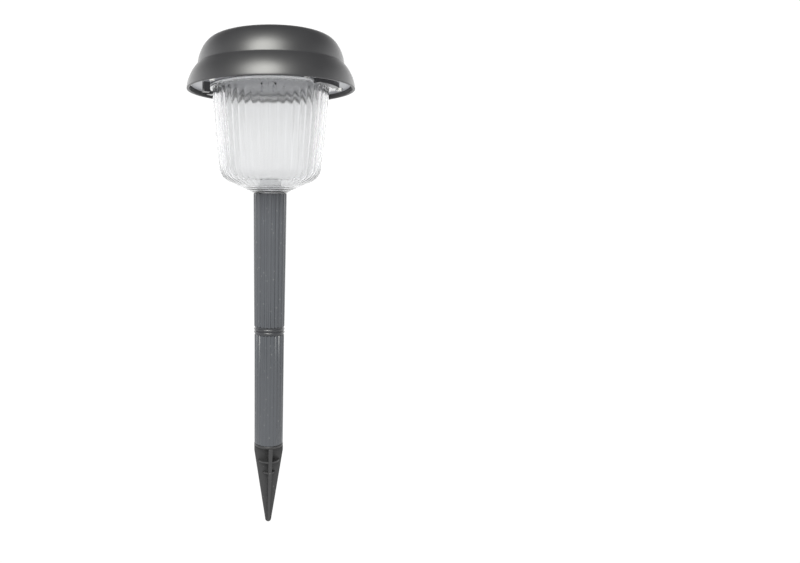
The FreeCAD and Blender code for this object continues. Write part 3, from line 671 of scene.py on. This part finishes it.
# %% Cap
PANEL_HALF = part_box("panel_seal")[1].x
RECESS_WALL = 1.6 * MM
RECESS_HOLE = PANEL_HALF * 0.6         # half of the opening in the recess's floor
PANEL_MARGIN = 2.0 * MM                # where the round top has become a square
CREASE_INSIDE = CREASE[1] - 0.94 * MM  # the height where the two tiers' inner arcs cross
CREASE_CLEAR = 0.2 * MM                # keeps the points of the two arcs apart there
RIM_SETBACK = 0.05 * MM
PANEL_PLAY = 0.1 * MM
CAP_ROUND = 0.6 * MM
RECESS_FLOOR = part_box("panel_board")[0].z - PANEL_PLAY

lower, upper, top = [leaning_arc(*arc, CAP_WALL) for arc in CAP_ARCS]
inside = top[::-1]
inside += [p for p in upper[-2::-1] if p[1] > CREASE_INSIDE + 2 * CREASE_CLEAR]
inside += [p for p in lower[::-1] if RIM[1] < p[1] < CREASE_INSIDE + CREASE_CLEAR]
inside.append((lower[0][0] - RIM_SETBACK, RIM[1]))

recess = [
    (PANEL_HALF + PANEL_MARGIN, TOP_EDGE[1]),
    (PANEL_HALF, TOP_EDGE[1]),
    (PANEL_HALF, RECESS_FLOOR),
    (RECESS_HOLE, RECESS_FLOOR),
    (RECESS_HOLE, RECESS_FLOOR - RECESS_WALL),
    (PANEL_HALF + RECESS_WALL, RECESS_FLOOR - RECESS_WALL),
    (PANEL_HALF + RECESS_WALL, TOP_EDGE[1] - CAP_WALL),
]
rows = [circle(r, z, CAP_STEPS) for r, z in outside]
rows += [square_ring(half, z, CAP_STEPS) for half, z in recess]
rows += [circle(r, z, CAP_STEPS) for r, z in inside]
cap = piece("cap_shell_skin", *skin(rows, True), CAP_BLACK, "cap", "cap_plastic", "cap_shell")
bevel(cap, CAP_ROUND)
settle(cap)

# %% [markdown]
# ## Bowl
#
# The bowl is a thin wall, spun like the cap, with relief on its outside only. Its ribs are convex
# lobes that touch each other, so light bends sideways in each one and whatever is behind the bowl
# breaks into stripes. Inside, the wall is smooth. The ribs run from just under the lip to the
# floor, where three low rings take over. The lip is frosted, and the two bayonet tabs on it stay
# plain.

# %% Bowl outline
lens_low, lens_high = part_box("lens")
NECK_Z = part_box("upper_tube")[1].z
NECK_R = 12.4 * MM
FOOT = (30.9 * MM, NECK_Z + 8.9 * MM)
HAUNCH = (38.3 * MM, NECK_Z + 19.6 * MM)
WALL_TOP = (43.0 * MM, NECK_Z + 72.2 * MM)
LIP_R = 45.0 * MM
LIP_LOW = NECK_Z + 76.3 * MM
LIP_BAND = LIP_LOW + 0.8 * MM  # the lip is clear up to here and frosted above
LIP_TOP = lens_high.z - 0.05 * MM
LIP_ROUND = 0.35 * MM
SKIN_GAP = 0.02 * MM           # keeps two touching pieces from sharing a surface
WALL = 1.8 * MM
SPIGOT_R = 10.0 * MM
SPIGOT_WALL = 2.0 * MM
SPIGOT_ROUND = 0.4 * MM
FLOOR_INSIDE = NECK_Z + 1.6 * MM
RINGS = 3
RING_STEPS = 8
RING_HEIGHT = 0.13 * MM
RING_WAY = (0.43, -0.9)        # outwards and down, square to the sloping floor
RINGS_LIFT = 0.3 * MM          # how far the rings stand above the neck's flat end
RINGS_END = (21.5 * MM, NECK_Z + 4.4 * MM)
RIBS = 46
RIB_HEIGHT = 0.9 * MM
RIB_TURN = math.radians(1.8)
RIBS_FADE = 22.0 * MM          # the radius on the floor where the last of a rib is gone
RIBS_TOP = (0.3 * MM, 1.0 * MM)    # a rib ends this far under the lip, and fades over this height
BOWL_STEPS = RIBS * 10
HAUNCH_LEAN = -63.5
SIDE_LEAN = -7.2


def bowl_side(inset, steps):
    """The bowl's wall from the floor's foot up to the top, moved inwards by inset."""
    turn = leaning_arc(FOOT, HAUNCH, HAUNCH_LEAN, steps // 3, inset)
    side = leaning_arc(HAUNCH, WALL_TOP, SIDE_LEAN, steps - steps // 3, inset)
    return turn[:-1] + side


def floor_rings():
    """The low rings on the underside of the floor, from the neck outwards."""
    points = []
    for i in range(RINGS * RING_STEPS):
        share = i / (RINGS * RING_STEPS)
        r = NECK_R + (RINGS_END[0] - NECK_R) * share
        z = NECK_Z + (RINGS_END[1] - NECK_Z) * share + (RINGS_LIFT if i else 0.0)
        swell = RING_HEIGHT * math.sin(math.pi * RINGS * share) ** 2
        points.append((r + RING_WAY[0] * swell, z + RING_WAY[1] * swell))
    return points


wall_inner = WALL_TOP[0] - WALL
bore = SPIGOT_R - SPIGOT_WALL
spigot = [(bore, lens_low.z), (SPIGOT_R - SPIGOT_ROUND, lens_low.z)]
spigot += [(SPIGOT_R, lens_low.z + SPIGOT_ROUND), (SPIGOT_R, NECK_Z), (NECK_R, NECK_Z)]
plain_foot = spigot + floor_rings()
ribbed = along(RINGS_END, FOOT, 8) + bowl_side(0.0, 44)
ribbed += along(WALL_TOP, (WALL_TOP[0], LIP_LOW), 4)[1:]
lip = [(WALL_TOP[0], LIP_LOW), (LIP_R, LIP_LOW), (LIP_R, LIP_BAND), (WALL_TOP[0], LIP_BAND)]
lip += [(WALL_TOP[0], lens_high.z), (wall_inner, lens_high.z)]
lining = bowl_side(WALL, 36)[::-1] + [(bore, FLOOR_INSIDE)]
outline = plain_foot + ribbed + lip + lining
print("bowl outline points:", len(outline))


# %% Bowl
def rib_share(r, z):
    """How much of a rib there is at a point of the outline: none at its two ends."""
    top = (LIP_LOW - RIBS_TOP[0] - z) / RIBS_TOP[1]
    foot = (r - RIBS_FADE) / (WALL_TOP[0] - RIBS_FADE)
    return max(0.0, min(1.0, top, max(0.0, foot) ** 2))


shares = [0.0] * len(plain_foot) + [rib_share(r, z) for r, z in ribbed]
shares += [0.0] * (len(lip) + len(lining))
bowl_points = [(r - RIB_HEIGHT * share, z) for (r, z), share in zip(outline, shares)]
bowl = piece("bowl", *spun(bowl_points, BOWL_STEPS), BOWL_CLEAR, "lens", "clear_plastic", "lens")
mark_relief(bowl, BOWL_STEPS, shares)
give(bowl, RELIEF, Count=float(RIBS), Width=1.0, Height=RIB_HEIGHT, Turn=RIB_TURN,
     Material=BOWL_CLEAR)
settle(bowl, 50.0)

# %% The bowl's lip
lip_inner = WALL_TOP[0] + SKIN_GAP
lip_low = LIP_BAND + SKIN_GAP / 2
lip_outline = [(lip_inner, lip_low), (LIP_R, lip_low), (LIP_R, LIP_TOP - LIP_ROUND)]
lip_outline += [(LIP_R - LIP_ROUND, LIP_TOP), (lip_inner, LIP_TOP)]
settle(piece("bowl_lip", *spun(lip_outline, 192), LIP_FROSTED, "lens", "clear_plastic"))

# %% Bayonet tabs on the bowl's lip
TABS = ((-47.0, 57.0), (133.0, 30.0))      # each tab's start and arc in degrees
TAB_RADIUS = 48.4 * MM
TAB_DEPTH = 1.6 * MM
TAB_ROUND = 0.3 * MM
TAB_STEP = 1.5


def arc_slab(start, arc, ring, steps):
    """Points and faces of a bar with the outline ring, bent round arc degrees from start."""
    rows = []
    for i in range(steps + 1):
        a = math.radians(start + arc * i / steps)
        rows.append([(r * math.cos(a), r * math.sin(a), z) for r, z in ring])
    points, faces = skin(rows, False)
    last = len(points) - 4
    faces += [(3, 2, 1, 0), (last, last + 1, last + 2, last + 3)]
    return points, faces


def joined(parts):
    """Several lists of points and faces as one."""
    points, faces = [], []
    for more_points, more_faces in parts:
        faces += [tuple(i + len(points) for i in face) for face in more_faces]
        points += more_points
    return points, faces


tab_inner, tab_low = LIP_R + SKIN_GAP, lens_high.z - TAB_DEPTH
tab_ring = [(tab_inner, lens_high.z), (TAB_RADIUS, lens_high.z)]
tab_ring += [(TAB_RADIUS, tab_low), (tab_inner, tab_low)]
slabs = [arc_slab(start, arc, tab_ring, round(arc / TAB_STEP)) for start, arc in TABS]
tabs = piece("bowl_tabs", *joined(slabs), BOWL_CLEAR, "lens", "clear_plastic")
bevel(tabs, TAB_ROUND, 2)
settle(tabs)

# %% [markdown]
# ## Stake tubes and collar
#
# Each tube is a little wider at its top than at its foot, as it has to be to leave its mould, and
# has 24 shallow round flutes, which grow shallower towards the lower tube's foot. The relief tree
# makes them from a plain spun tube with a negative height. The collar is a spun outline with two
# round beads.

# %% Stake tubes
FLUTES = 24
TUBE_STEPS = FLUTES * 12
FLUTE_DEPTH = 0.6 * MM
FLUTE_WIDTH = 0.62
FLUTE_FADE = 30.0 * MM
EDGE = 0.35 * MM


def stake_tube(name, node, bore, foot_r, body, foot_share):
    """A fluted tube. Its flutes have only foot_share of their depth near its foot."""
    low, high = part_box(node)
    top_r = high.x
    fade_r = foot_r + (top_r - foot_r) * FLUTE_FADE / (high.z - low.z)
    outer = [(foot_r - EDGE, low.z), (foot_r, low.z + EDGE), (fade_r, low.z + FLUTE_FADE)]
    outer += [(top_r, high.z - EDGE), (top_r - EDGE, high.z)]
    outline = [(bore, low.z)] + outer + [(bore, high.z)]
    made = piece(name, *spun(outline, TUBE_STEPS), STAKE_GREY, body, "stake_plastic", node)
    mark_relief(made, TUBE_STEPS, [0.0, foot_share, foot_share, 1.0, 1.0, 1.0, 0.0])
    give(made, RELIEF, Count=float(FLUTES), Width=FLUTE_WIDTH, Height=-FLUTE_DEPTH,
         Material=STAKE_GREY)
    settle(made)


LOWER_BORE = 9.5 * MM
LOWER_FOOT = 11.1 * MM
UPPER_BORE = 10.1 * MM
UPPER_FOOT = 11.65 * MM
stake_tube("lower_stake_tube", "lower_tube", LOWER_BORE, LOWER_FOOT, "lower_stake", 0.25)
stake_tube("upper_stake_tube", "upper_tube", UPPER_BORE, UPPER_FOOT, "upper_stake", 1.0)

# %% Collar
COLLAR_STEPS = 128
BEAD_R = 1.0 * MM
BEAD_PITCH = 2.4 * MM
BEAD_HALF = 78.0               # degrees of a bead on each side of its middle
CORE_R = 11.0 * MM
LEAD_IN = 0.5 * MM             # the chamfer on a peg's end
coupler_low, coupler_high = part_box("coupler")
collar_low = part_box("lower_tube")[1].z
collar_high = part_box("upper_tube")[0].z
bead_reach = coupler_high.x - BEAD_R
passage_r = LOWER_BORE - SPIGOT_WALL


def bead(middle, steps=10):
    """The outer half of a round bead, from its foot to its top."""
    turn = [math.radians(BEAD_HALF * (2 * i / steps - 1)) for i in range(steps + 1)]
    return [(bead_reach + BEAD_R * math.cos(a), middle + BEAD_R * math.sin(a)) for a in turn]


collar_middle = (collar_low + collar_high) / 2
peg_r = LOWER_BORE - SKIN_GAP
outline = [(passage_r, coupler_low.z), (LOWER_BORE - LEAD_IN, coupler_low.z)]
outline += [(peg_r, coupler_low.z + LEAD_IN), (peg_r, collar_low), (CORE_R, collar_low)]
outline += bead(collar_middle - BEAD_PITCH / 2) + bead(collar_middle + BEAD_PITCH / 2)
outline += [(CORE_R, collar_high), (SPIGOT_R, collar_high), (SPIGOT_R, coupler_high.z - LEAD_IN)]
outline += [(SPIGOT_R - LEAD_IN, coupler_high.z), (passage_r, coupler_high.z)]
collar = piece("collar", *spun(outline, COLLAR_STEPS), COLLAR_GREY, "lower_stake",
               "collar_plastic", "coupler")
settle(collar)

# %% [markdown]
# ## Ground spike
#
# The spike is four fins inside a cone, with two small stiffening webs, a flange that stops it at
# the soil, and a hollow peg for the lower tube. A cross-shaped ring, drawn at many heights and
# joined up, gives the fins their rounded outer edges and a tip that closes smoothly.

# %% Spike
PEG_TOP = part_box("spike")[1].z
SHOULDER_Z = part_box("lower_tube")[0].z
SPIKE_R = 11.3 * MM
CONE_TOP = SHOULDER_Z - 6.0 * MM
TIP_R = 2.4 * MM
FIN_HALF = (0.9 * MM, 1.5 * MM)    # half of a fin's thickness at the tip and at the shoulder
SPIKE_TURN = math.radians(9.0)
TIP_ANGLES = (12, 25, 40, 55, 70, 85)
CONE_STEPS = 24
WEBS = ((51.0 * MM, 0.86), (41.0 * MM, 0.6))   # height, and radius as a share of the cone's
WEB_DEPTH = 1.2 * MM
FLANGE = 1.8 * MM
FLANGE_ROUND = 0.3 * MM
CENTRE_R = 0.5 * MM            # spun solids stop just short of the axis
PEG_PLAY = 0.1 * MM
PEG_FLOOR = SHOULDER_Z - 0.5 * MM
SPIKE_ROUND = 0.25 * MM


def spike_radius(z):
    """The cone's radius at height z, with a round tip."""
    if z < TIP_R:
        return math.sqrt(max(0.0, TIP_R ** 2 - (TIP_R - z) ** 2))
    return min(SPIKE_R, TIP_R + (SPIKE_R - TIP_R) * (z - TIP_R) / (CONE_TOP - TIP_R))


def cross_ring(z):
    """A ring round the four fins at height z: for each fin its inner corner and its rounded end."""
    reach = spike_radius(z)
    thin, thick = FIN_HALF
    half = min(thin + (thick - thin) * z / SHOULDER_Z, reach * 0.5)
    edge = math.asin(half / reach)
    side = [(half * 1.25, -half)]
    side += [(half + (reach - half) * share, -half) for share in (1 / 3, 2 / 3)]
    rounded = [edge * (i / 3 - 1) for i in range(7)]
    fin = side + [(reach * math.cos(a), reach * math.sin(a)) for a in rounded]
    fin += [(x, -y) for x, y in side[::-1]]
    fin = [(x, y) for x, y in fin if x > half] + [(half, half)]
    ring = []
    for quarter in range(4):
        turn = SPIKE_TURN + quarter * math.pi / 2
        c, s = math.cos(turn), math.sin(turn)
        ring += [(x * c - y * s, x * s + y * c, z) for x, y in fin]
    return ring


def fins():
    """The four fins from the tip up to the flange, closed at both ends."""
    heights = [TIP_R * (1 - math.cos(math.radians(a))) for a in TIP_ANGLES]
    heights += [TIP_R + (CONE_TOP - TIP_R) * i / CONE_STEPS for i in range(1, CONE_STEPS + 1)]
    heights.append(SHOULDER_Z - FLANGE)
    rows = [cross_ring(z) for z in heights]
    points, faces = skin(rows, False)
    count = len(rows[0])
    faces.append(tuple(range(count - 1, -1, -1)))
    faces.append(tuple(len(points) - count + i for i in range(count)))
    return points, faces


def web(z, share):
    """A thin round plate across the fins."""
    r, top = spike_radius(z) * share, z + WEB_DEPTH
    return spun([(CENTRE_R, z), (r, z), (r, top), (CENTRE_R, top)], 48)


def flange_and_peg():
    """The flange at the soil and the hollow peg on it."""
    peg_r = LOWER_BORE - PEG_PLAY
    bore, under = peg_r - SPIGOT_WALL, SHOULDER_Z - FLANGE
    outline = [(bore, PEG_FLOOR), (CENTRE_R, PEG_FLOOR), (CENTRE_R, under)]
    outline += [(SPIKE_R - FLANGE_ROUND, under), (SPIKE_R, under + FLANGE_ROUND)]
    outline += [(SPIKE_R, SHOULDER_Z - FLANGE_ROUND), (SPIKE_R - FLANGE_ROUND, SHOULDER_Z)]
    outline += [(peg_r, SHOULDER_Z), (peg_r, PEG_TOP - LEAD_IN)]
    outline += [(peg_r - LEAD_IN, PEG_TOP), (bore, PEG_TOP)]
    return spun(outline, 96)


shapes = [fins()] + [web(z, share) for z, share in WEBS] + [flange_and_peg()]
spike = piece("ground_spike", *joined(shapes), SPIKE_BLACK, "spike", "spike_plastic", "spike")
bevel(spike, SPIKE_ROUND, 2)
settle(spike)

# %% [markdown]
# ## Fingers on the solar cells
#
# A solar cell carries fine silver fingers that cross it at an even pitch and lead the current to
# the ribbon. Nothing repeats more plainly than this, so a small tree lays one bar on every
# point of a grid. The bars are thinner than the ribbon, so they stay below its top.

# %% Bars on a grid
def bar_tree():
    inputs = [
        ("Geometry", GEOMETRY, None),
        ("Columns", INTEGER, 4),
        ("Rows", INTEGER, 20),
        ("Span", VECTOR, (0.03, 0.04, 0)),
        ("Bar", VECTOR, (0.009, 0.0001, 0.0001)),
        ("Centre", VECTOR, (0, 0, 0)),
        ("Material", MATERIAL, None),
    ]
    group, start, end = new_group("bars on a grid", inputs, [("Geometry", GEOMETRY)],
                                  "GeometryNodeTree")
    nodes, links = group.nodes, group.links
    span = axes(group, start.outputs["Span"])
    grid = nodes.new("GeometryNodeMeshGrid")
    place = nodes.new("GeometryNodeSetPosition")
    bar = nodes.new("GeometryNodeMeshCube")
    repeat = nodes.new("GeometryNodeInstanceOnPoints")
    links.new(span["X"], grid.inputs["Size X"])
    links.new(span["Y"], grid.inputs["Size Y"])
    links.new(start.outputs["Columns"], grid.inputs["Vertices X"])
    links.new(start.outputs["Rows"], grid.inputs["Vertices Y"])
    links.new(grid.outputs["Mesh"], place.inputs["Geometry"])
    links.new(start.outputs["Centre"], place.inputs["Offset"])
    links.new(start.outputs["Bar"], bar.inputs["Size"])
    links.new(place.outputs[0], repeat.inputs["Points"])
    links.new(bar.outputs["Mesh"], repeat.inputs["Instance"])
    paint_and_end(group, start, end, repeat.outputs[0])
    return group


CELLS = 4
CELL_GAP = 1.0 * MM
FINGERS = 21
FINGER_WIDTH = 0.12 * MM
FINGER_HEIGHT = 0.05 * MM
FINGER_SHARE = 0.94            # a finger's length as a share of its cell's width
cells_low, cells_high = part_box("solar_cells")
cell_pitch = (cells_high.x - cells_low.x + CELL_GAP) / CELLS
cell_width = cell_pitch - CELL_GAP
cell_length = cells_high.y - cells_low.y
finger_span = Vector((cell_pitch * (CELLS - 1), cell_length * (FINGERS - 1) / FINGERS, 0))
finger_size = Vector((cell_width * FINGER_SHARE, FINGER_WIDTH, FINGER_HEIGHT))
finger_place = Vector((0, 0, cells_high.z + FINGER_HEIGHT / 2))
fingers = piece("cell_fingers", [(0, 0, 0)], [], TINNED, "cap", "tinned_ribbon")
give(fingers, bar_tree(), Columns=CELLS, Rows=FINGERS, Span=finger_span, Bar=finger_size,
     Centre=finger_place, Material=TINNED)
settle(fingers)

# %% [markdown]
# ## Inside the cap
#
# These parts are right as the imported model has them, and they only show through the bowl or from
# below, so they keep their shapes and get their own finishes.

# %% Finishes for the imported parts
finishes = {
    "base_plate": PLATE_PAINTED_PALE, "battery_door": PLATE_PAINTED_PALE, "plate_screws": SCREW_ZINC,
    "panel_board": BOARD_GREEN, "circuit_board": BOARD_GREEN, "board_screws": SCREW_ZINC,
    "contact_plates": CONTACT_NICKEL, "contact_spring": CONTACT_NICKEL, "inductor": FERRITE,
    "driver_chip": CHIP_BLACK, "resistor": RESISTOR_TAN, "led": LAMP_CLEAR, "led_leads": TINNED,
    "led_spacer": NYLON, "switch_body": SWITCH_STEEL, "switch_knob": KNOB_BLACK,
    "panel_wires": WIRE_RED, "battery_wires": WIRE_RED, "panel_window": COVER_CLEAR,
    "panel_seal": SEAL_BLACK, "cell_ribbons": TINNED, "solar_cells": SILICON,
    "battery": BATTERY_GREEN,
}
for node, material in finishes.items():
    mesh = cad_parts[node].data
    mesh.materials.clear()
    mesh.materials.append(material)

# %% [markdown]
# ## Finish
#
# The scene is brought up to date.

# %% Finish
bpy.context.view_layer.update()
